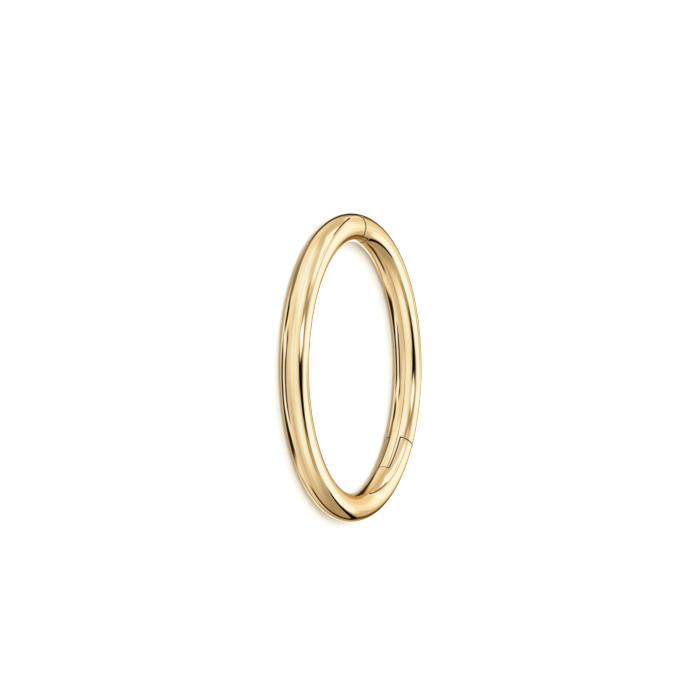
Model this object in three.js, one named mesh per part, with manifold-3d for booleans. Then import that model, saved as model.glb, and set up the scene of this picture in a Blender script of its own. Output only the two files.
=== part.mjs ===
// Hinged hoop earring: a round wire bent to a plain ring and cut into two arcs.
// The long arc forms the fork of the hinge and carries the tongue of the closure.
// The short arc is the gate: it turns outwards about a pin hidden inside the wire,
// and its end closes over the tongue.
//
// Frame: the ring lies flat, +Z up. X points to its 3 o'clock side and Y to its
// 12 o'clock side, where the two arcs meet. The origin is at the middle of the ring,
// level with the surface that it lies on.

import * as THREE from "three";
import { mergeVertices } from "three/addons/utils/BufferGeometryUtils.js";
import Module from "manifold-3d";

// Driving dimensions, in millimetres
const innerDiameter = 11.0; // clear width inside the ring
const wireDiameter = 1.25;
const knuckleReach = 1.02; // from the hinge pin to the ends of the fork's ears
const hingeTongueWidth = 0.5; // the gate's tongue between the two ears
const pinDiameter = 0.4;
const pinCover = 0.15; // metal left over each end of the hidden pin
const latchLength = 0.62; // the closure's tongue, past the end of the long arc
const latchWidth = 0.8;
const latchDepth = 0.55; // from the wire's inmost line outwards
const latchNoseRadius = 0.2; // rounds the tip of the closure's tongue

// Clearances, in millimetres
const seamGap = 0.04; // joint line between the ends of the two arcs
const cheekGap = 0.03; // each side of the hinge tongue, and past each end of the pin
const latchTipGap = 0.1; // from the tip of the closure's tongue to the end of its pocket
const pinGap = 0.02; // all round the pin in its bore

// Clock angle of the hinge pin, in degrees from 12 o'clock towards 3 o'clock
const hingeAngle = 133.5;

// Fineness of the faceted surfaces
const wireSides = 24;
const ringSteps = 96;
const pinSides = 24;
const arcSegments = 16;

// Derived sizes
const wireRadius = wireDiameter / 2;
const ringRadius = innerDiameter / 2 + wireRadius; // to the wire's centre line
const cutterReach = 2 * wireDiameter; // carries a cutter clear of the wire
const jointLap = wireDiameter / 2; // how deep a tongue is rooted in its arc
const pinLength = wireDiameter - 2 * pinCover;

const gold = new THREE.MeshStandardMaterial({
  name: "gold",
  color: 0xe8c893,
  roughness: 0.12,
  metalness: 1.0,
});

const wasm = await Module();
wasm.setup();

// A closed mesh with shared corners, as a solid that can be joined and cut.
function toSolid(geometry) {
  geometry.deleteAttribute("normal");
  geometry.deleteAttribute("uv");
  const merged = mergeVertices(geometry);
  const vertProperties = new Float32Array(merged.getAttribute("position").array);
  const triVerts = new Uint32Array(merged.getIndex().array);
  return new wasm.Manifold(new wasm.Mesh({ numProp: 3, vertProperties, triVerts }));
}

function toGeometry(solid) {
  const { vertProperties, triVerts } = solid.getMesh();
  const geometry = new THREE.BufferGeometry();
  geometry.setAttribute("position", new THREE.BufferAttribute(vertProperties, 3));
  geometry.setIndex(new THREE.BufferAttribute(triVerts, 1));
  geometry.computeVertexNormals();
  return geometry;
}

function radiansFromClock(clockDegrees) {
  return Math.PI / 2 - THREE.MathUtils.degToRad(clockDegrees);
}

// An outline drawn in the ring's plane, thickened evenly to both sides of it.
function slab(outline, thickness) {
  const geometry = new THREE.ExtrudeGeometry(outline, {
    depth: thickness,
    bevelEnabled: false,
    curveSegments: arcSegments,
  });
  geometry.translate(0, 0, -thickness / 2);
  return geometry;
}

// Moves a local shape onto the wire's centre line at a clock angle. Its x axis then
// points away from the middle of the ring, and its y axis anticlockwise along the wire.
function ontoWire(geometry, clockDegrees) {
  geometry.translate(ringRadius, 0, 0);
  geometry.rotateZ(radiansFromClock(clockDegrees));
  return toSolid(geometry);
}

// The part of the ring's plane between two clock angles, as a thick slice.
function slice(fromClock, toClock) {
  const outline = new THREE.Shape();
  const rim = ringRadius + cutterReach;
  const start = radiansFromClock(fromClock);
  outline.moveTo(0, 0);
  outline.lineTo(rim * Math.cos(start), rim * Math.sin(start));
  outline.absarc(0, 0, rim, start, radiansFromClock(toClock), true);
  outline.closePath();
  return toSolid(slab(outline, cutterReach));
}

// The knuckle is the stretch of wire around the pin, up to a reach to either side.
// Inwards its ends are radial planes. Outwards they are arcs about the pin, so that
// the gate's end can roll past them. With openTop it runs on into the gate instead.
function knuckleOutline(reach, openTop) {
  const inset = wireDiameter;
  const innerReach = (reach * (ringRadius - inset)) / ringRadius;
  const outline = new THREE.Shape();
  outline.moveTo(-inset, -innerReach);
  outline.lineTo(0, -reach);
  if (openTop) {
    const top = knuckleReach + seamGap + jointLap;
    outline.absarc(0, 0, reach, -Math.PI / 2, 0, false);
    outline.lineTo(reach, top);
    outline.lineTo(-inset, top);
  } else {
    outline.absarc(0, 0, reach, -Math.PI / 2, Math.PI / 2, false);
    outline.lineTo(-inset, innerReach);
  }
  outline.closePath();
  return outline;
}

function knuckle(reach, openTop, thickness) {
  return ontoWire(slab(knuckleOutline(reach, openTop), thickness), hingeAngle);
}

// The closure's tongue, rooted in the long arc's end and rounded at its tip. Grown by
// the clearances, it is the pocket that the gate's end has for it.
function latch(grow, tipGrow) {
  const outer = -wireRadius + latchDepth + grow;
  const tip = -(latchLength + tipGrow);
  const nose = latchNoseRadius + grow;
  const outline = new THREE.Shape();
  outline.moveTo(-wireDiameter, jointLap);
  outline.lineTo(-wireDiameter, tip);
  outline.lineTo(outer - nose, tip);
  outline.absarc(outer - nose, tip + nose, nose, -Math.PI / 2, 0, false);
  outline.lineTo(outer, jointLap);
  outline.closePath();
  return ontoWire(slab(outline, latchWidth + 2 * grow), 0);
}

function pinRod(radius, length) {
  const geometry = new THREE.CylinderGeometry(radius, radius, length, pinSides);
  geometry.rotateX(Math.PI / 2);
  return ontoWire(geometry, hingeAngle);
}

const ringGeometry = new THREE.TorusGeometry(ringRadius, wireRadius, wireSides, ringSteps);
const wireRing = toSolid(ringGeometry);
const closureAngle = THREE.MathUtils.radToDeg(seamGap / 2 / ringRadius);
const pinBore = pinRod(pinDiameter / 2 + pinGap, pinLength + 2 * cheekGap);

// The long arc: from the fork round by 6 and 9 o'clock to the closure at 12 o'clock.
function hoopArc() {
  const ears = knuckle(knuckleReach, false, cutterReach);
  const slot = knuckle(knuckleReach + seamGap, true, hingeTongueWidth + 2 * cheekGap);
  const body = slice(hingeAngle, 360 - closureAngle).add(ears);
  const arc = wireRing.intersect(body).subtract(slot).subtract(pinBore);
  return arc.add(wireRing.intersect(latch(0, 0)));
}

// The short arc: from the closure by 3 o'clock to its tongue in the fork.
function gateArc() {
  const clearOfEars = knuckle(knuckleReach + seamGap, false, cutterReach);
  const tongue = wireRing.intersect(knuckle(knuckleReach, true, hingeTongueWidth));
  const body = slice(closureAngle, hingeAngle).subtract(clearOfEars);
  const arc = wireRing.intersect(body).subtract(latch(seamGap, latchTipGap));
  return arc.add(tongue).subtract(pinBore);
}

function namedMesh(name, solid) {
  const mesh = new THREE.Mesh(toGeometry(solid), gold);
  mesh.name = name;
  return mesh;
}

const earring = new THREE.Group();
earring.add(namedMesh("hoop_arc", hoopArc()));
earring.add(namedMesh("gate_arc", gateArc()));
earring.add(namedMesh("hinge_pin", pinRod(pinDiameter / 2, pinLength)));
earring.position.z = wireRadius;

export default earring;
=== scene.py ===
# %% [markdown]
# A hinged hoop earring in polished gold.
#
# The real thing is one round gold wire bent to a ring and sawn into two arcs. The long arc
# ends in a fork with two ears, and the short arc, the gate, has a tongue that turns between
# them on a hidden pin. At the other end the gate closes over a small tongue of the long arc.
# Polished metal has no colour pattern to hide behind: what the eye sees is the surroundings,
# bent by the surface. So this lesson spends its effort on two things: a surface with exactly
# right normals, and a studio worth mirroring.

import bmesh
import bpy
import numpy as np
from mathutils import Matrix, Vector


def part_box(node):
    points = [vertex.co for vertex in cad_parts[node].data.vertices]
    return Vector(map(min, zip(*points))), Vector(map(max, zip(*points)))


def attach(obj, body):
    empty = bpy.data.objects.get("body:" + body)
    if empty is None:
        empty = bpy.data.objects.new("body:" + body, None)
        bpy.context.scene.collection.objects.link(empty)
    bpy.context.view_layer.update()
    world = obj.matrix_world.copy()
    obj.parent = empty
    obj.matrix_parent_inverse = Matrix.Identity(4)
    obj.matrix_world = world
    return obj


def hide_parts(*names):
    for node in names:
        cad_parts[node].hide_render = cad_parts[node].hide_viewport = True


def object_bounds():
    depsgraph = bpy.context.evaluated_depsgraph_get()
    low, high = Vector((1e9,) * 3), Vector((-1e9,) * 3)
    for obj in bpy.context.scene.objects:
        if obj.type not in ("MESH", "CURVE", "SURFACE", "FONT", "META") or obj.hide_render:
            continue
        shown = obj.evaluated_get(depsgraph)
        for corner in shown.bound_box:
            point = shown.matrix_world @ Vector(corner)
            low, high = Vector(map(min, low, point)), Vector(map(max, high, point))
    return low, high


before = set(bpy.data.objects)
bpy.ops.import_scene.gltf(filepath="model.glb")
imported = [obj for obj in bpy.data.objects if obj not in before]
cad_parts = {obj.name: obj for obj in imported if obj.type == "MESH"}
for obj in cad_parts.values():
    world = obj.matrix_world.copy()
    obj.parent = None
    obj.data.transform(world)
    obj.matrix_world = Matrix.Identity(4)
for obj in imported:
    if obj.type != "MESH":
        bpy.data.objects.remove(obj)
cad_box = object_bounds()
print("nodes in the frame:", sorted(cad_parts))

# %% [markdown]
# The sizes. The ring's own sizes are read from the frame's box, so that the surfaces made
# here lie on the solids. The ring lies flat: its height is the wire's diameter, and half its
# width is the ring's radius plus the wire's. The hinge pin tells where the hinge is. Only the
# sizes of the cuts are written down again, with the same names as in the part's source.

# %% Sizes, in metres
MM = 0.001
low, high = (np.array(corner) for corner in cad_box)
WIRE = (high[2] - low[2]) / 2
RING = (high[0] - low[0]) / 2 - WIRE

pin_low, pin_high = (np.array(corner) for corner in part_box("hinge_pin"))
pin_x, pin_y, _ = (pin_low + pin_high) / 2
HINGE = np.arctan2(pin_x, pin_y)  # clock angle of the pin, from 12 o'clock towards 3 o'clock

KNUCKLE_REACH = 1.02 * MM
HINGE_TONGUE_WIDTH = 0.5 * MM
LATCH_LENGTH = 0.62 * MM
LATCH_WIDTH = 0.8 * MM
LATCH_DEPTH = 0.55 * MM
LATCH_NOSE_RADIUS = 0.2 * MM
SEAM_GAP = 0.04 * MM
CHEEK_GAP = 0.03 * MM
LATCH_TIP_GAP = 0.1 * MM
CLOSURE = SEAM_GAP / 2 / RING  # half the closing seam, as a clock angle

print("wire radius %.3f mm, ring radius %.3f mm" % (WIRE / MM, RING / MM))
print("hinge at %.1f degrees" % np.degrees(HINGE))

# %% [markdown]
# One map serves every surface. A point of the wire has a clock angle round the ring, a radial
# offset from the wire's centre line, and a height above it. The cuts are all upright walls, so
# where an arc ends is a clock angle that depends on the radial offset alone. At the knuckle
# of the hinge the inner half ends in a radial plane. The outer half ends in an arc about the
# pin, so that the gate's end can roll past it.


# %% The map of the wire, and where the knuckle ends
def wire_point(clock, radial, height):
    """Points at the ring's radius plus radial, turned to the clock angle, height over the
    wire's centre plane. The three arrays are broadcast to one shape."""
    clock, radial, height = np.broadcast_arrays(clock, radial, height)
    rho = RING + radial
    return np.stack([rho * np.sin(clock), rho * np.cos(clock), WIRE + height], axis=-1)


def knuckle_angle(reach, radial):
    """Clock angle from the pin to the knuckle's end: that of the radial plane which is reach
    away on the centre line, or by the cosine rule that of the arc of radius reach."""
    rho = RING + radial
    rolled = (rho**2 + RING**2 - reach**2) / (2 * rho * RING)
    plane = np.arctan(reach / RING)
    return np.where(rho > np.hypot(RING, reach), np.arccos(np.clip(rolled, -1, 1)), plane)


# %% [markdown]
# A section angle runs round the wire, from 0 at its outermost line over 90 at its top to 180 at
# its inmost line. The grid lines have to pass exactly through the corners of the cuts, so the
# section angles are laid out between those corners and spread evenly in between. Next to a
# corner, and next to the end of an arc, the cells are wider, to leave room for rounded edges.

# %% Grid lines that meet the corners of the cuts
SECTION_STEP = np.radians(3.75)
RING_STEP = np.radians(0.5)
EDGE_ROOM = 0.1 * MM


def half_section(*corners):
    """Section angles from 0 to 180 degrees that pass through each corner."""
    room = EDGE_ROOM / WIRE
    marks = [0.0, *sorted(corners), np.pi]
    angles = [marks]
    for a, b in zip(marks, marks[1:]):
        if b - a < 3 * room:
            angles.append([(a + b) / 2])
            continue
        first = a if a == 0.0 else a + room
        last = b if b == np.pi else b - room
        angles.append(np.linspace(first, last, round((last - first) / SECTION_STEP) + 1))
    return np.unique(np.concatenate(angles))


def shares(start, end):
    """How far along the way from start to end each row of the grid lies, from 0 to 1."""
    length = float(np.max(np.abs(end - start)))
    steps = round(length / RING_STEP)
    room = EDGE_ROOM / RING / length
    return np.concatenate([[0.0], np.linspace(room, 1 - room, steps - 1), [1.0]])


def span(angles, start, end):
    """The section angles from start to end, both included."""
    slack = 1e-9
    return angles[(angles > start - slack) & (angles < end + slack)]


def past_inmost(angles):
    """Angles that end at 180 degrees, carried on with their mirror images."""
    return np.concatenate([angles, 2 * np.pi - angles[-2::-1]])


def past_outmost(angles):
    """Angles that start at 0 degrees, with their mirror images ahead of them."""
    return np.concatenate([-angles[:0:-1], angles])


def corner_angle(width):
    """Section angle where a cut of this width, centred on the wire, comes out of its skin."""
    return np.arcsin(width / 2 / WIRE)


# %% [markdown]
# A polisher's wheel takes the sharpness off every edge, and the tiny round it leaves is what
# draws the bright hairlines beside the seams. Most edges are rounded very little. The two ends
# that meet at the closing seam are rounded more, and so are the corners of the fork's ears and
# of the tongue, which a finger would feel.

# %% How widely each edge is rounded
SHARP_ANGLE = np.radians(35)
EDGE_ROUND = 0.03 * MM
SEAM_ROUND = 0.07 * MM
CORNER_ROUND = 0.065 * MM
ANGLE_SLACK = 1e-5
LENGTH_SLACK = 1e-4 * MM


def edge_round(ends, cheek):
    """The rounding of the edge between two points. The cheek is the height of the flat sides
    at the hinge."""
    clock = np.arctan2(ends[:, 0], ends[:, 1])
    radial = np.hypot(ends[:, 0], ends[:, 1]) - RING
    height = np.abs(ends[:, 2] - WIRE)
    on_skin = np.abs(np.hypot(radial, height) - WIRE) < LENGTH_SLACK
    at_closure = np.abs(np.abs(clock) - CLOSURE) < ANGLE_SLACK
    if np.all(at_closure & on_skin):
        return SEAM_ROUND
    past_knuckle = np.abs(clock - HINGE) - knuckle_angle(KNUCKLE_REACH, radial)
    at_knuckle_end = np.abs(past_knuckle) < ANGLE_SLACK
    on_cheek = np.abs(height - cheek) < LENGTH_SLACK
    if np.all(at_knuckle_end & on_cheek):
        return CORNER_ROUND
    return EDGE_ROUND


# %% [markdown]
# A solid is collected as patches: grids of points, and flat faces with many corners. Patches
# share the points along their common edges, so that welding the doubles closes the body. The
# faces are turned outwards in one go, and the weld is tested: each edge has two faces.


# %% Patches that are welded to one closed mesh
WELD = 2e-4 * MM


class Shell:
    """The points and faces of all patches so far."""

    def __init__(self):
        self.points = []
        self.faces = []
        self.count = 0

    def add(self, points, faces):
        self.points.append(points)
        self.faces.extend((np.asarray(faces) + self.count).tolist())
        self.count += len(points)

    def grid(self, points):
        """Four-sided faces between the rows and columns of an array of points."""
        rows, columns, _ = points.shape
        first = np.arange(rows * columns).reshape(rows, columns)
        quads = [first[:-1, :-1], first[:-1, 1:], first[1:, 1:], first[1:, :-1]]
        self.add(points.reshape(-1, 3), np.stack(quads, axis=-1).reshape(-1, 4))

    def skin(self, section, start, end, share):
        """The wire's round surface over the section angles, between two clock angles."""
        clock = start + (end - start) * share[:, None]
        self.grid(wire_point(clock, WIRE * np.cos(section), WIRE * np.sin(section)))

    def flat(self, *runs):
        """One flat face, whose rim is the runs of points one after the other."""
        rim = np.concatenate(runs)
        self.add(rim, [np.arange(len(rim))])

    def wall(self, rim_a, rim_b):
        """An upright wall, ruled between two rims of as many points."""
        self.grid(np.stack([rim_a, rim_b]))

    def mesh(self, name, cheek):
        """The closed mesh, with a weight on each edge for how widely it is rounded."""
        mesh = bpy.data.meshes.new(name)
        mesh.from_pydata(np.concatenate(self.points).tolist(), [], self.faces)
        work = bmesh.new()
        work.from_mesh(mesh)
        bmesh.ops.remove_doubles(work, verts=work.verts, dist=WELD)
        bmesh.ops.recalc_face_normals(work, faces=work.faces)
        loose = sum(len(edge.link_faces) != 2 for edge in work.edges)
        weight = work.edges.layers.float.new("bevel_weight_edge")
        for edge in work.edges:
            if edge.calc_face_angle(0.0) > SHARP_ANGLE:
                ends = np.array([vertex.co for vertex in edge.verts])
                edge[weight] = edge_round(ends, cheek) / SEAM_ROUND
        work.to_mesh(mesh)
        work.free()
        print("%s: %d faces, %d edges without two faces" % (name, len(mesh.polygons), loose))
        return mesh


# %% [markdown]
# The closure. Its tongue is a small block under the long arc's end, and the pocket in the gate
# is the same block grown by the clearances. Seen from above, both are a straight roof, a
# rounded nose and a straight tip. Sideways they end in flat cheeks. Where tip and cheeks come
# out of the wire's skin, they meet the section angle of their width.

# %% The outline of the closure's tongue and of its pocket
NOSE_STEPS = 8


def ring_of(section, clock, height=None):
    """Points at these section angles, on the skin or else on a cheek at one height."""
    up = WIRE * np.sin(section) if height is None else height
    return wire_point(clock, WIRE * np.cos(section), up)


def latch_outline(grow, tip_grow):
    """Roof and nose in plan, from the closing seam to the tip: x runs along the wire into the
    gate, y is measured from the middle of the ring."""
    roof = RING - WIRE + LATCH_DEPTH + grow
    tip = LATCH_LENGTH + tip_grow
    nose = LATCH_NOSE_RADIUS + grow
    turn = np.linspace(0, np.pi / 2, NOSE_STEPS + 1)
    x = tip - nose + nose * np.sin(turn)
    y = roof - nose + nose * np.cos(turn)
    return x, y, roof, tip


def add_latch(shell, width, grow, tip_grow, seam, half):
    """The walls of the tongue or the pocket, from the seam's clock angle to the tip. Returns
    the two rims on which the arc's end face has to close."""
    corner = np.pi - corner_angle(width)
    nose_x, nose_y, roof, tip = latch_outline(grow, tip_grow)
    x = np.concatenate([[roof * np.tan(seam)], nose_x])
    y = np.concatenate([[roof], nose_y])

    def tip_clock(section):
        return np.arcsin(tip / (RING + WIRE * np.cos(section)))

    edge_end = tip_clock(corner)
    share = shares(seam, edge_end)
    edge_clock = seam + (edge_end - seam) * share
    mouth = span(half, corner, np.pi)
    rims = []
    for side in (1, -1):
        height = side * width / 2
        outline = np.stack([x, y, np.full_like(x, WIRE + height)], axis=-1)
        edge = wire_point(edge_clock, WIRE * np.cos(corner), height)
        shell.flat(outline, edge[::-1])
        rims.append((outline, edge))
    (outline_a, edge_a), (outline_b, edge_b) = rims
    shell.wall(outline_a, outline_b)
    shell.wall(
        np.concatenate([outline_a[-1:], ring_of(mouth, tip_clock(mouth))]),
        np.concatenate([outline_b[-1:], ring_of(-mouth, tip_clock(mouth))]),
    )
    return corner, tip_clock, share, outline_a[0], outline_b[0]


# %% [markdown]
# The long arc. Its main stretch has the whole round section. Past the end of the slot only the
# two ears go on, each with a round back and a flat cheek towards the tongue. Their ends are
# upright walls too, ruled between the skin and the cheek.

# %% The long arc
def hoop_arc_mesh():
    shell = Shell()
    slot_width = HINGE_TONGUE_WIDTH + 2 * CHEEK_GAP
    slot = corner_angle(slot_width)
    half = half_section(slot, np.pi - slot, np.pi - corner_angle(LATCH_WIDTH))
    whole = past_inmost(half)

    def wall_clock(section):
        return HINGE + knuckle_angle(KNUCKLE_REACH + SEAM_GAP, WIRE * np.cos(section))

    def top_clock(section):
        return HINGE - knuckle_angle(KNUCKLE_REACH, WIRE * np.cos(section))

    seam = 2 * np.pi - CLOSURE
    shell.skin(whole, wall_clock(whole), seam, shares(HINGE, seam))

    ear = span(half, slot, np.pi - slot)
    share = shares(top_clock(ear), wall_clock(ear))
    for side in (1, -1):
        height = side * slot_width / 2
        shell.skin(side * ear, top_clock(ear), wall_clock(ear), share)
        ends = [
            top_clock(ear[k]) + (wall_clock(ear[k]) - top_clock(ear[k])) * share
            for k in (0, -1)
        ]
        shell.flat(
            ring_of(ear[0], ends[0], height),
            ring_of(ear, wall_clock(ear), height),
            ring_of(ear[-1], ends[1][::-1], height),
            ring_of(ear[::-1], top_clock(ear[::-1]), height),
        )
        shell.wall(ring_of(side * ear, top_clock(ear)), ring_of(ear, top_clock(ear), height))
    shell.wall(
        ring_of(ear, wall_clock(ear), slot_width / 2),
        ring_of(ear, wall_clock(ear), -slot_width / 2),
    )
    for mouth in (span(half, 0, slot), span(half, np.pi - slot, np.pi)):
        shell.wall(ring_of(mouth, wall_clock(mouth)), ring_of(-mouth, wall_clock(mouth)))

    corner, tip_clock, share, rim_a, rim_b = add_latch(
        shell, LATCH_WIDTH, 0.0, 0.0, -CLOSURE, half
    )
    mouth = past_inmost(span(half, corner, np.pi))
    shell.skin(mouth, -CLOSURE, tip_clock(mouth), share)
    outside = past_outmost(span(half, 0, corner))
    shell.flat(ring_of(outside, seam), rim_a[None], rim_b[None])
    return shell.mesh("hoop_arc_fine", slot_width / 2)


# %% [markdown]
# The gate. It is the other way round at the hinge: its whole section ends at the shoulders, and
# only the middle of the wire goes on as the tongue. At the closing seam it has the pocket.

# %% The gate arc
def gate_arc_mesh():
    shell = Shell()
    tongue = corner_angle(HINGE_TONGUE_WIDTH)
    pocket_width = LATCH_WIDTH + 2 * SEAM_GAP
    half = half_section(tongue, np.pi - tongue, np.pi - corner_angle(pocket_width))
    whole = past_inmost(half)

    def shoulder_clock(section):
        return HINGE - knuckle_angle(KNUCKLE_REACH + SEAM_GAP, WIRE * np.cos(section))

    def tail_clock(section):
        return HINGE + knuckle_angle(KNUCKLE_REACH, WIRE * np.cos(section))

    corner, tip_clock, share, rim_a, rim_b = add_latch(
        shell, pocket_width, SEAM_GAP, LATCH_TIP_GAP, CLOSURE, half
    )
    outside = past_outmost(span(half, 0, corner))
    shell.skin(outside, CLOSURE, tip_clock(outside), share)
    shell.flat(ring_of(outside, CLOSURE), rim_a[None], rim_b[None])
    shell.skin(whole, tip_clock(whole), shoulder_clock(whole), shares(0.0, HINGE))

    share = shares(shoulder_clock(0.0), tail_clock(0.0))
    outer, inner = span(half, 0, tongue), span(half, np.pi - tongue, np.pi)
    for mouth, both in ((outer, past_outmost(outer)), (inner, past_inmost(inner))):
        shell.skin(both, shoulder_clock(both), tail_clock(both), share)
        shell.wall(ring_of(mouth, tail_clock(mouth)), ring_of(-mouth, tail_clock(mouth)))

    middle = span(half, tongue, np.pi - tongue)
    ends = [
        shoulder_clock(middle[k]) + (tail_clock(middle[k]) - shoulder_clock(middle[k])) * share
        for k in (0, -1)
    ]
    for side in (1, -1):
        height = side * HINGE_TONGUE_WIDTH / 2
        shell.flat(
            ring_of(middle[0], ends[0], height),
            ring_of(middle, tail_clock(middle), height),
            ring_of(middle[-1], ends[1][::-1], height),
            ring_of(middle[::-1], shoulder_clock(middle[::-1]), height),
        )
        shell.wall(
            ring_of(side * middle, shoulder_clock(middle)),
            ring_of(middle, shoulder_clock(middle), height),
        )
    shell.wall(
        ring_of(middle, tail_clock(middle), HINGE_TONGUE_WIDTH / 2),
        ring_of(middle, tail_clock(middle), -HINGE_TONGUE_WIDTH / 2),
    )
    return shell.mesh("gate_arc_fine", HINGE_TONGUE_WIDTH / 2)


# %% [markdown]
# The Bevel modifier rounds the edges by their weights. Afterwards the mesh gets exact normals:
# each corner that lies on the wire's skin takes the normal of a true torus, so that reflections
# don't show the grid.


# %% Rounded edges and exact normals
BEVEL_SEGMENTS = 4
SKIN_SLACK = 3e-3 * MM


def torus_normals(points):
    """Unit vectors from the nearest point of the wire's centre line, and their lengths."""
    flat = np.hypot(points[:, 0], points[:, 1])
    away = np.stack(
        [
            points[:, 0] * (1 - RING / flat),
            points[:, 1] * (1 - RING / flat),
            points[:, 2] - WIRE,
        ],
        axis=-1,
    )
    length = np.linalg.norm(away, axis=1)
    return away / length[:, None], length


def finish_edges(piece):
    """Rounds the weighted edges for good, then sets the normals."""
    bevel = piece.modifiers.new("polished edges", "BEVEL")
    bevel.width = SEAM_ROUND
    bevel.segments = BEVEL_SEGMENTS
    bevel.limit_method = "WEIGHT"
    bevel.use_clamp_overlap = False
    bevel.harden_normals = True
    graph = bpy.context.evaluated_depsgraph_get()
    rounded = bpy.data.meshes.new_from_object(piece.evaluated_get(graph))
    piece.modifiers.clear()
    piece.data = rounded

    points = np.empty(len(rounded.vertices) * 3)
    rounded.vertices.foreach_get("co", points)
    exact, length = torus_normals(points.reshape(-1, 3))
    corners = len(rounded.loops)
    vertex = np.empty(corners, dtype=int)
    rounded.loops.foreach_get("vertex_index", vertex)
    normals = np.empty(corners * 3)
    rounded.corner_normals.foreach_get("vector", normals)
    normals = normals.reshape(-1, 3)
    on_skin = np.abs(length[vertex] - WIRE) < SKIN_SLACK
    aligned = np.einsum("ij,ij->i", normals, exact[vertex]) > np.cos(SHARP_ANGLE / 2)
    use = on_skin & aligned
    normals[use] = exact[vertex][use]
    rounded.normals_split_custom_set(normals)
    print("%s: %d faces, %d exact corners" % (piece.name, len(rounded.polygons), use.sum()))


def make_piece(name, mesh, body, node):
    """A finished piece that replaces a node of the frame and moves with its body."""
    mesh.shade_smooth()
    piece = bpy.data.objects.new(name, mesh)
    bpy.context.scene.collection.objects.link(piece)
    finish_edges(piece)
    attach(piece, body)
    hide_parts(node)
    return piece


hoop_arc = make_piece("polished_hoop_arc", hoop_arc_mesh(), "hoop", "hoop_arc")
gate_arc = make_piece("polished_gate_arc", gate_arc_mesh(), "gate", "gate_arc")

# %% [markdown]
# Materials and light are node trees. A small helper adds nodes to a tree: an input may be a
# number or another node's output, and a call gives back the new node's output.


# %% Helper for node trees
class Tree:
    def __init__(self, tree):
        self.tree = tree

    def put(self, socket, value):
        """Gives a socket a number, or links another node's output to it."""
        if isinstance(value, bpy.types.NodeSocket):
            self.tree.links.new(value, socket)
        else:
            socket.default_value = value

    def node(self, kind, **inputs):
        """A node whose inputs are named with _ for each space."""
        node = self.tree.nodes.new("ShaderNode" + kind)
        for name, value in inputs.items():
            self.put(node.inputs[name.replace("_", " ")], value)
        return node

    def math(self, operation, *values):
        node = self.node("Math")
        node.operation = operation
        for socket, value in zip(node.inputs, values):
            self.put(socket, value)
        return node.outputs[0]

    def distance(self, across, along):
        """The root of the sum of two squares."""
        squares = [self.math("MULTIPLY", value, value) for value in (across, along)]
        return self.math("SQRT", self.math("ADD", *squares))

    def smooth(self, value, low_in, high_in, low_out=0.0, high_out=1.0):
        """A smooth step between two values of the input."""
        node = self.node(
            "MapRange",
            Value=value,
            From_Min=low_in,
            From_Max=high_in,
            To_Min=low_out,
            To_Max=high_out,
        )
        node.interpolation_type = "SMOOTHSTEP"
        return node.outputs["Result"]

    def colours(self, value, stops):
        """A colour that runs through the stops as the value grows. Each stop is the value and
        a colour, and the last stop's value is the top of the scale."""
        top = stops[-1][0]
        node = self.node("ValToRGB")
        self.put(node.inputs[0], self.math("DIVIDE", value, top))
        elements = node.color_ramp.elements
        while len(elements) < len(stops):
            elements.new(0.5)
        for element, (at, colour) in zip(elements, stops):
            element.position = at / top
            element.color = colour
        return node.outputs[0]


# %% [markdown]
# The gold. The skin is polished to a mirror, with a faint haze that comes and goes and a ripple
# of a few thousandths of a millimetre, as hand polishing leaves them. The wheel doesn't reach
# into the joints: below the skin the sawn faces stay dull, and their colour is a darker gold,
# painted shade for the joints. The mouth of each joint is painted near-black: painted shade for
# the narrow gap, partly also polishing residue. How far a point is below the skin follows from
# its distance to the wire's centre line.

# %% Gold
POLISHED_COLOUR = (0.80, 0.61, 0.34, 1.0)
# painted shade: the near-black mouth of each joint stands for the shade in the narrow gap,
# partly polishing residue
JOINT_SHADE_COLOUR = (0.07, 0.045, 0.02, 1.0)
# painted shade: the sawn faces inside the joints are a darker gold than the polished skin
SAWN_SHADE_COLOUR = (0.45, 0.32, 0.15, 1.0)
SAWN_ROUGHNESS = 0.42
DEPTHS = [
    # below the skin, colour from there on
    (0.003 * MM, POLISHED_COLOUR),
    (0.018 * MM, JOINT_SHADE_COLOUR),
    (0.10 * MM, JOINT_SHADE_COLOUR),
    (0.30 * MM, SAWN_SHADE_COLOUR),
]


EDGE_TINT = (0.98, 0.84, 0.60, 1.0)
HAZE_SIZE = 0.9 * MM
HAZE_NOISE = (0.35, 0.75)
HAZE_ROUGHNESS = (0.02, 0.07)
RIPPLE_SIZE = 1.6 * MM
RIPPLE_DEPTH = 0.002 * MM


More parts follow.
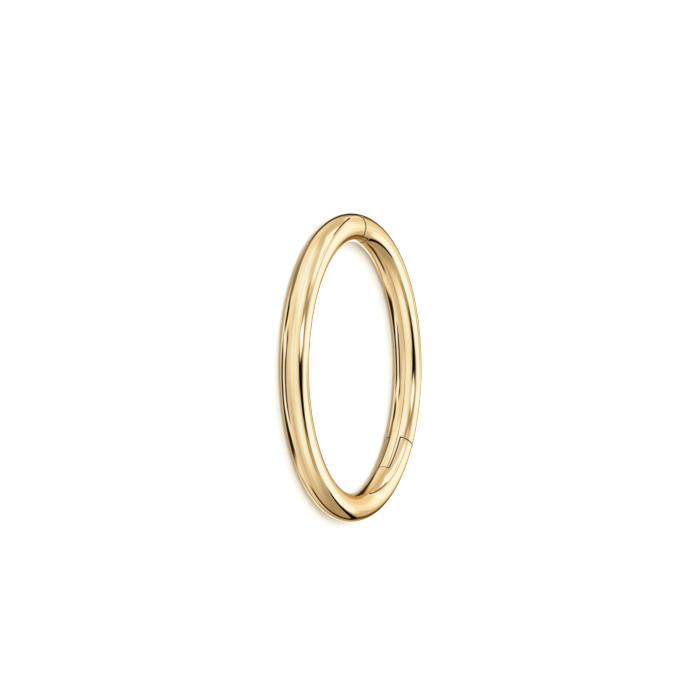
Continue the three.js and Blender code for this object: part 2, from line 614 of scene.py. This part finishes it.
def polished_gold():
    material = bpy.data.materials.new("polished_gold")
    material.use_nodes = True
    tree = Tree(material.node_tree)
    shader = material.node_tree.nodes["Principled BSDF"].inputs
    shader["Metallic"].default_value = 1.0
    shader["Specular Tint"].default_value = EDGE_TINT
    place = tree.node("TexCoord").outputs["Object"]

    def noise(size, detail):
        """Noise whose blobs are about this size."""
        node = tree.node("TexNoise", Vector=place, Scale=1 / size, Detail=detail)
        return node.outputs["Fac"]

    x, y, z = tree.node("SeparateXYZ", Vector=place).outputs
    radial = tree.math("SUBTRACT", tree.distance(x, y), RING)
    height = tree.math("SUBTRACT", z, WIRE)
    depth = tree.math("SUBTRACT", WIRE, tree.distance(radial, height))
    # the base colour, by depth below the skin, paints the joints' shade: darker gold on the sawn
    # faces, near-black in their mouths
    tree.put(shader["Base Color"], tree.colours(depth, DEPTHS))

    haze = tree.smooth(noise(HAZE_SIZE, 3.0), *HAZE_NOISE, *HAZE_ROUGHNESS)
    sawn = tree.smooth(depth, DEPTHS[0][0], DEPTHS[1][0])
    dull = tree.math("MULTIPLY", sawn, SAWN_ROUGHNESS)
    tree.put(shader["Roughness"], tree.math("MAXIMUM", haze, dull))

    ripple = tree.node(
        "Bump", Height=noise(RIPPLE_SIZE, 1.0), Strength=1.0, Distance=RIPPLE_DEPTH
    )
    tree.put(shader["Normal"], ripple.outputs["Normal"])
    return material


gold = polished_gold()
for arc in (hoop_arc, gate_arc):
    arc.data.materials.append(gold)
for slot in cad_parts["hinge_pin"].material_slots:
    slot.material = gold

# %% [markdown]
# The camera stands at the photograph's angle to the ring. The ring lies down here, so the camera
# lies on its side: the picture's right is partly the floor's up. TILT is the angle between the
# ring's axis and the line of sight. The other numbers place the ring in the picture.

# %% Camera
LENS = 220.0
PHOTO_SIDE = 700
PIXELS_PER_RING = 140.25
DISTANCE = 30.5 * RING
PHOTO_CENTRE = (353.05, 367.69)
TILT = np.radians(66.11)
SENSOR_WIDTH = 36.0
CLIP_START = 0.01

back = Vector((-np.sin(TILT), 0.0, np.cos(TILT)))
right = Vector((np.cos(TILT), 0.0, np.sin(TILT)))
up = Vector((0.0, 1.0, 0.0))
off_right = (PHOTO_CENTRE[0] - PHOTO_SIDE / 2) / PIXELS_PER_RING * RING
off_up = (PHOTO_SIDE / 2 - PHOTO_CENTRE[1]) / PIXELS_PER_RING * RING
centre = Vector((0.0, 0.0, WIRE))
place = centre + back * DISTANCE - right * off_right - up * off_up
camera_data = bpy.data.cameras.new("camera")
camera_data.lens = LENS
camera_data.sensor_width = SENSOR_WIDTH
camera_data.clip_start = CLIP_START
camera = bpy.data.objects.new("camera", camera_data)
turn = Matrix((right, up, back)).transposed().to_4x4()
camera.matrix_world = Matrix.Translation(place) @ turn
bpy.context.scene.collection.objects.link(camera)
bpy.context.scene.camera = camera

# %% [markdown]
# The floor is a sheet of matt paper, a little warm to balance the cool light. The gold doesn't
# mirror it: its lower side mirrors the tent instead, which is closed underneath.

# %% Floor
FLOOR = 2.0
PAPER_COLOUR = (0.95, 0.90, 0.80, 1.0)
PAPER_ROUGHNESS = 0.9


def make_floor():
    mesh = bpy.data.meshes.new("floor")
    corners = [(-FLOOR, -FLOOR, 0), (FLOOR, -FLOOR, 0), (FLOOR, FLOOR, 0), (-FLOOR, FLOOR, 0)]
    mesh.from_pydata(corners, [], [(0, 1, 2, 3)])
    floor = bpy.data.objects.new("floor", mesh)
    bpy.context.scene.collection.objects.link(floor)
    material = bpy.data.materials.new("white_paper")
    material.use_nodes = True
    shader = material.node_tree.nodes["Principled BSDF"].inputs
    shader["Base Color"].default_value = PAPER_COLOUR
    shader["Roughness"].default_value = PAPER_ROUGHNESS
    shader["Specular IOR Level"].default_value = 0.0
    mesh.materials.append(material)
    floor.visible_glossy = False


make_floor()

# %% [markdown]
# The light is a tent all round the ring, with soft panels and dark cards in front of its cloth,
# as in a jeweller's studio. A card is a rectangle with soft edges, and each one covers those
# above it in the list. Its place is an azimuth from +X towards +Y, an elevation and a roll, and
# its half sizes and edges are angles too, all in degrees. Level is how bright it is. The camera
# itself sees plain white behind the floor.
#
# Neither table was chosen by eye. The cards' numbers are the rounded results of a separate
# program, which fitted them to how bright the photograph's gold is along its mirrored rays, with
# a few changed by hand. The colours of the grade are median tones of the photograph's gold,
# measured by another program in bands of brightness and divided by the gold's own colour.

# %% Light tent
CARDS = [
    # name, azimuth, elevation, roll, half width, half height, soft across, soft up, level
    ("left glow", -128, 28, -3, 31, 22, 50, 36, 1.39),
    ("back glow", 170, 14, -16, 29, 33, 47, 49, 1.32),
    ("right glow", 113, 7, -29, 25, 40, 20, 28, 1.42),
    ("left dusk", -50, 10, 10, 21, 31, 28, 30, 0.48),
    ("right dusk", 91, 42, -22, 17, 24, 15, 14, 0.95),
    ("zenith dusk", 151, 75, 11, 24, 17, 7, 3, 0.43),
    ("overhead panel", -27, 61, -42, 45, 15, 8, 8, 1.29),
    ("front panel", -20, 51, -64, 27, 20, 8, 3, 1.47),
    ("right panel", 19, 34, 15, 17, 39, 8, 8, 1.46),
    ("right fold", 43, 39, 65, 17, 2.2, 10, 4.4, 1.09),
    ("front fold", -3, 38, 0, 2, 11, 3, 14, 0.7),
    ("right strip", 63, 36, -12, 11, 21.5, 4, 8, 1.46),
    ("right edge", 60, 43, 56, 5, 1.0, 6, 1.0, 0.5),
    ("left line", -31, 0.5, -73, 41, 3.8, 8, 1.5, 0.0),
    ("right line", 42.5, 16, 64, 15.5, 1.9, 4, 1.0, 0.0),
    ("left band", -93, 56, -42, 17, 10.5, 12, 3.5, 0.54),
    ("left dark", -124, 73.5, -52, 18, 7.6, 8, 6, 0.03),
    ("left tail", -107, 52, -40, 9, 3.6, 8, 4, 0.45),
    ("black card", -163, 69.5, 10, 18, 9, 3.5, 3.5, 0.0),
    ("white window", 136, 68, -31, 11, 9, 4, 4, 1.6),
    ("right dark", 107, 55, -34, 7, 9.5, 3, 8, 0.49),
    ("low shade", -1, -4, 10, 27, 15.5, 2, 4.5, 0.14),
    ("low glow", 19, 12, -8, 15, 9, 3, 10, 1.04),
    ("under glow", 63, -83, -121, 62.7, 47.7, 50, 50, 1.26),
    ("under front", -2, -33.4, -2, 38.4, 24.9, 2.1, 1.7, 0.6),
    ("under bright front", -11, -21, -25, 6.9, 25.9, 2.2, 5, 1.42),
    ("under dusk left", 67, -55.6, -23, 20.3, 10.9, 12.3, 7.8, 0.29),
    ("under left dark", 108, -66.5, 31, 12, 7, 10, 6.3, 0.04),
    ("under right dark", -82, -69.8, -19, 21.2, 16.3, 10, 10, 0.02),
    ("under right arc", -53, -14.7, 22, 27.8, 4.9, 10, 3.7, 0.03),
    ("under left spot", 28, -24.8, 24, 7.6, 19, 2.4, 10, 0.04),
    ("under grey", -173, -52.8, -6, 26.9, 8.1, 8, 4.1, 0.09),
    ("under bright left", 151, -59.6, 11, 9.4, 7.5, 7, 7, 1.52),
    ("under bright right", -131, -67.3, -18, 7.1, 15.4, 6.1, 7, 1.52),
    ("under nadir", 61, -91, -41, 10.6, 10.3, 3.1, 7, 0.04),
]
TENT_LEVEL = 0.8
GRADE_GAIN = 2.5  # keeps the colours of the grade below 1 in their node
GRADE = [
    # level, red, green, blue of the light
    (0.0, 0.0, 0.0, 0.0),
    (0.08, 0.10, 0.065, 0.03),
    (0.24, 0.28, 0.225, 0.14),
    (0.57, 0.62, 0.545, 0.43),
    (0.89, 0.91, 0.855, 0.78),
    (1.05, 1.06, 1.02, 0.99),
    (1.21, 1.13, 1.21, 1.23),
    (1.37, 1.18, 1.375, 1.68),
    (1.49, 1.22, 1.525, 2.19),
    (1.6, 1.23, 1.60, 2.45),
]


def direction(azimuth, elevation):
    """The unit vector towards a place given in radians."""
    level = np.cos(elevation)
    return Vector((level * np.cos(azimuth), level * np.sin(azimuth), np.sin(elevation)))


def tent_world():
    world = bpy.data.worlds.new("light_tent")
    bpy.context.scene.world = world
    world.use_nodes = True
    world.node_tree.nodes.clear()
    tree = Tree(world.node_tree)
    ray = tree.node("TexCoord").outputs["Generated"]

    def dot(axis):
        node = tree.node("VectorMath")
        node.operation = "DOT_PRODUCT"
        tree.put(node.inputs[0], ray)
        tree.put(node.inputs[1], axis)
        return node.outputs["Value"]

    def inside(angle, half, soft):
        """1 within the half size, 0 outside it, with a soft edge."""
        edges = np.radians((half + soft / 2, half - soft / 2))
        return tree.smooth(tree.math("ABSOLUTE", angle), *edges)

    level = TENT_LEVEL
    for _, az, el, roll, half_w, half_h, soft_w, soft_h, card_level in CARDS:
        az, el, roll = np.radians((az, el, roll))
        ahead = direction(az, el)
        side = direction(az + np.pi / 2, 0.0)
        top = ahead.cross(side)
        side_rolled = side * np.cos(roll) + top * np.sin(roll)
        top_rolled = top * np.cos(roll) - side * np.sin(roll)
        across = tree.math("ARCTAN2", dot(side_rolled), dot(ahead))
        height = tree.math("ARCSINE", dot(top_rolled))
        cover = tree.math(
            "MULTIPLY", inside(across, half_w, soft_w), inside(height, half_h, soft_h)
        )
        level = tree.node("Mix", Factor=cover, A=level, B=card_level).outputs[0]

    grade = [(stop, (*(c / GRADE_GAIN for c in rgb), 1.0)) for stop, *rgb in GRADE]
    tent = tree.node("Background", Color=tree.colours(level, grade), Strength=GRADE_GAIN)
    backdrop = tree.node("Background", Color=(1.0, 1.0, 1.0, 1.0))
    seen = tree.node("MixShader", Fac=tree.node("LightPath").outputs["Is Camera Ray"])
    tree.put(seen.inputs[1], tent.outputs[0])
    tree.put(seen.inputs[2], backdrop.outputs[0])
    tree.node("OutputWorld", Surface=seen.outputs[0])
    print("light tent with", len(CARDS), "cards")


tent_world()
bpy.context.scene.view_settings.view_transform = "Standard"

# %% [markdown]
# Two soft lamps light the floor, and the key draws the shadow. The gold doesn't mirror them.

# %% Lamps
LAMP_COLOUR = (0.86, 0.92, 1.0)
LAMPS = [
    # name, azimuth, elevation, strength, spread
    ("key", 66, 34, 1.7, 34),
    ("fill", 180, 52, 1.5, 40),
]


def add_lamp(name, azimuth, elevation, strength, spread):
    data = bpy.data.lights.new(name, "SUN")
    data.energy = strength
    data.angle = np.radians(spread)
    data.color = LAMP_COLOUR
    lamp = bpy.data.objects.new(name, data)
    lamp.visible_glossy = False
    towards = direction(*np.radians((azimuth, elevation)))
    lamp.rotation_euler = towards.to_track_quat("Z", "Y").to_euler()
    bpy.context.scene.collection.objects.link(lamp)


for row in LAMPS:
    add_lamp(*row)
